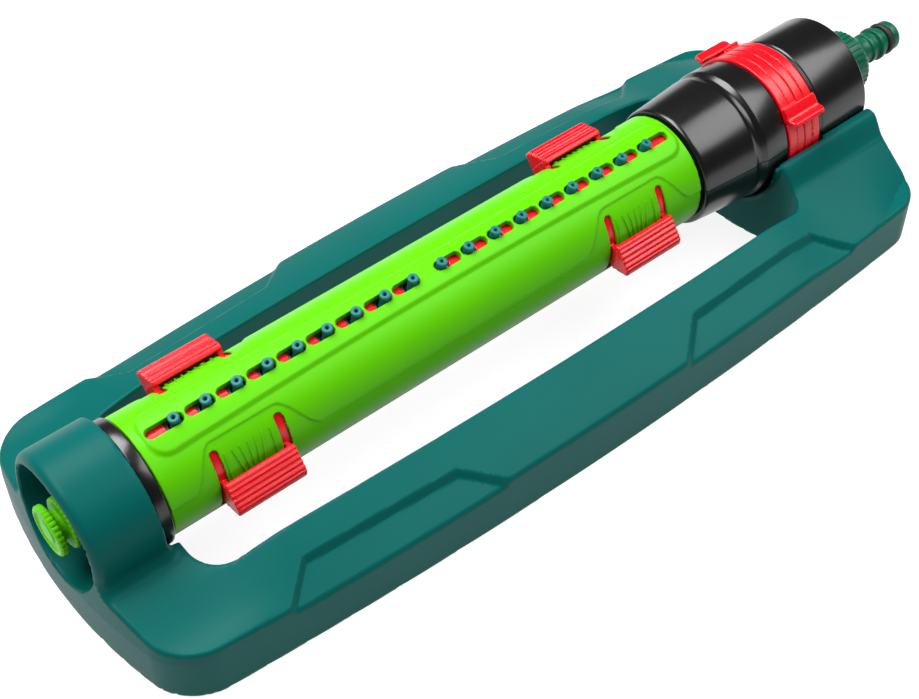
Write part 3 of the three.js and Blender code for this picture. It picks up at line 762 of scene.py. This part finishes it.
# %% Connector and O-ring
RIBS = 36
CONNECTOR = [(393, 13.5), (393, 15.6), (408.6, 15.6), (410.4, 14.2), (416, 9.2), (416.6, 6.4), (422, 6.4),
             (422.4, 7.6), (424.6, 7.6), (425, 6.4), (427.6, 6.4), (428, 8.3), (430.2, 8.3), (430.8, 6.8),
             (433.6, 6.8), (433.6, 6), (437.2, 6), (437.2, 7.6), (440.4, 7.6), (442, 6.6), (442, 4.5),
             (412, 4.5), (407.4, 6), (407.4, 13.5)]


def skirt_ribs(x, r, phi):
    on_skirt = smooth(14.6, 15.3, r) * (1 - smooth(408.6, 411, x))
    return 0.55 * on_skirt * (smooth(-0.1, 0.75, np.cos(RIBS * phi)) - 0.6)


fit(turned("hose_connector_nipple", CONNECTOR, segments=RIBS * 8, radius=0.35, wave=skirt_ribs),
    "hose_connector", "connector_green", "hose_connector")
ring_angles = np.linspace(0, 2 * math.pi, 15)[:-1]
O_RING = [(435.4 + 1.45 * math.cos(a), 7.05 + 1.15 * math.sin(a)) for a in ring_angles]
fit(turned("connector_o_ring_seal", O_RING, segments=64, radius=0.1),
    "hose_connector", "seal_rubber", "connector_o_ring")


# %% [markdown]
# The studio is a lit white table under two large soft lamps. The strong one overhead lights the tops
# and leaves the near walls dark. A weaker one at the right draws the broad highlights on the black
# pieces. The table glows a little, so it stays white in the shade of the arm.

# %% Stage
def studio_floor():
    mesh = bpy.data.meshes.new("floor")
    half = 14.0
    mesh.from_pydata([(-half, -half, -0.0003), (half, -half, -0.0003), (half, half, -0.0003),
                      (-half, half, -0.0003)], [], [(0, 1, 2, 3)])
    floor = bpy.data.objects.new("floor", mesh)
    bpy.context.scene.collection.objects.link(floor)
    paper = bpy.data.materials.new("matt_white_paper")
    paper.use_nodes = True
    surface = paper.node_tree.nodes["Principled BSDF"]
    surface.inputs["Base Color"].default_value = linear("808080")
    surface.inputs["Roughness"].default_value = 0.9
    surface.inputs["Emission Color"].default_value = (1.0, 1.0, 1.0, 1.0)
    surface.inputs["Emission Strength"].default_value = 0.88
    floor.data.materials.append(paper)


studio_floor()
world = bpy.data.worlds.new("studio")
bpy.context.scene.world = world
world.use_nodes = True
world.node_tree.nodes["Background"].inputs["Color"].default_value = (1.0, 1.0, 1.0, 1.0)
world.node_tree.nodes["Background"].inputs["Strength"].default_value = 0.07


def softbox(name, place, target, width, height, power):
    lamp = bpy.data.lights.new(name, "AREA")
    lamp.shape = "RECTANGLE"
    lamp.size, lamp.size_y, lamp.energy = width, height, power
    holder = bpy.data.objects.new(name, lamp)
    holder.location = place
    holder.rotation_euler = (Vector(target) - Vector(place)).to_track_quat("-Z", "Y").to_euler()
    bpy.context.scene.collection.objects.link(holder)
    return holder


softbox("overhead_softbox", (-0.35, 0.5, 1.3), (0.0, 0.0, 0.03), 1.5, 0.8, 44)
softbox("right_softbox", (0.75, -0.45, 1.25), (0.08, 0, 0.04), 1.2, 0.9, 19)
print("lamps", [lamp.name for lamp in bpy.data.lights])

# %% Camera
CAMERA_PLACE, CAMERA_TARGET, CAMERA_ROLL = (-0.3604, -0.4003, 0.5789), (-0.0328, 0.0057, 0), -0.5
camera_data = bpy.data.cameras.new("camera")
camera_data.lens, camera_data.sensor_width = 66.97, 36
camera = bpy.data.objects.new("camera", camera_data)
camera.location = CAMERA_PLACE
aim = (Vector(CAMERA_TARGET) - Vector(CAMERA_PLACE)).to_track_quat("-Z", "Y").to_matrix()
camera.rotation_euler = (aim @ Matrix.Rotation(math.radians(CAMERA_ROLL), 3, "Z")).to_euler()
bpy.context.scene.collection.objects.link(camera)
bpy.context.scene.camera = camera
bpy.context.scene.view_settings.view_transform = "Standard"
print("camera lens", round(camera_data.lens, 1), "mm")
